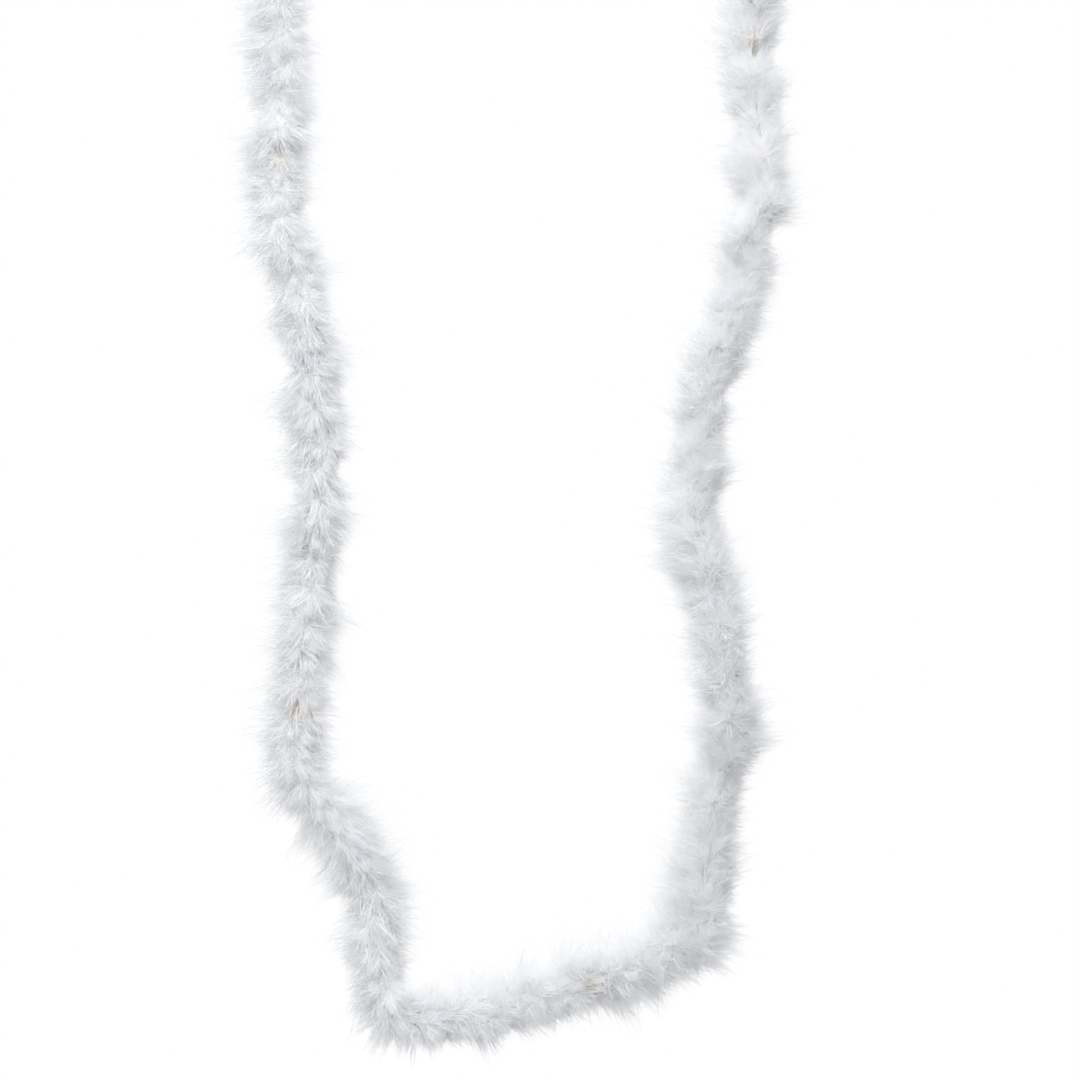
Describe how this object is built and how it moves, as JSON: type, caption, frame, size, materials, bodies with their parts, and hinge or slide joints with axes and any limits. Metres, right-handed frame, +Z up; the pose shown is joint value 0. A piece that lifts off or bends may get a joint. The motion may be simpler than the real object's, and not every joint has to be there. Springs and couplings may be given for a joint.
{
  "type": "feather boa",
  "caption": "White marabou feather boa hung up in a deep U by the loops at its two ends, with soft down plumes twisted into a thin cotton core cord.",
  "frame": {"origin": "where a hook bears, inside the top of the left hang loop", "axes": "+X from the left hang loop to the right one, +Y to the back, +Z up; the boa hangs below both loops in the XZ plane"},
  "size_m": [0.367, 0.0636, 0.843],
  "materials": {
    "marabou_down": "soft matt down",
    "quill": "horny, slightly glossy keratin",
    "cotton_cord": "matt twisted cotton",
    "whipping_thread": "fine polished thread"
  },
  "bodies": {
    "held_ends": {"cut_tail_left": "cotton_cord", "cut_tail_right": "cotton_cord", "end_knot_left": "cotton_cord", "end_knot_right": "cotton_cord", "hang_loop_left": "cotton_cord", "hang_loop_right": "cotton_cord"},
    "hanging_boa": {"core_cord": "cotton_cord", "plumes_bottom_01": "marabou_down", "plumes_bottom_02": "marabou_down", "plumes_bottom_03": "marabou_down", "plumes_bottom_04": "marabou_down", "plumes_left_01": "marabou_down", "plumes_left_02": "marabou_down", "plumes_left_03": "marabou_down", "plumes_left_04": "marabou_down", "plumes_left_05": "marabou_down", "plumes_left_06": "marabou_down", "plumes_left_07": "marabou_down", "plumes_left_08": "marabou_down", "plumes_left_09": "marabou_down", "plumes_left_10": "marabou_down", "plumes_left_11": "marabou_down", "plumes_right_01": "marabou_down", "plumes_right_02": "marabou_down", "plumes_right_03": "marabou_down", "plumes_right_04": "marabou_down", "plumes_right_05": "marabou_down", "plumes_right_06": "marabou_down", "plumes_right_07": "marabou_down", "plumes_right_08": "marabou_down", "plumes_right_09": "marabou_down", "quills_bottom_01": "quill", "quills_bottom_02": "quill", "quills_bottom_03": "quill", "quills_bottom_04": "quill", "quills_left_01": "quill", "quills_left_02": "quill", "quills_left_03": "quill", "quills_left_04": "quill", "quills_left_05": "quill", "quills_left_06": "quill", "quills_left_07": "quill", "quills_left_08": "quill", "quills_left_09": "quill", "quills_left_10": "quill", "quills_left_11": "quill", "quills_right_01": "quill", "quills_right_02": "quill", "quills_right_03": "quill", "quills_right_04": "quill", "quills_right_05": "quill", "quills_right_06": "quill", "quills_right_07": "quill", "quills_right_08": "quill", "quills_right_09": "quill", "thread_whipping_left": "whipping_thread", "thread_whipping_right": "whipping_thread"}
  },
  "joints": [
    {"name": "hang_swing", "type": "hinge", "parent": "held_ends", "child": "hanging_boa", "pos_m": [0, 0, -0.027], "axis": [1, 0, 0], "range_deg": [-40, 40]}
  ]
}
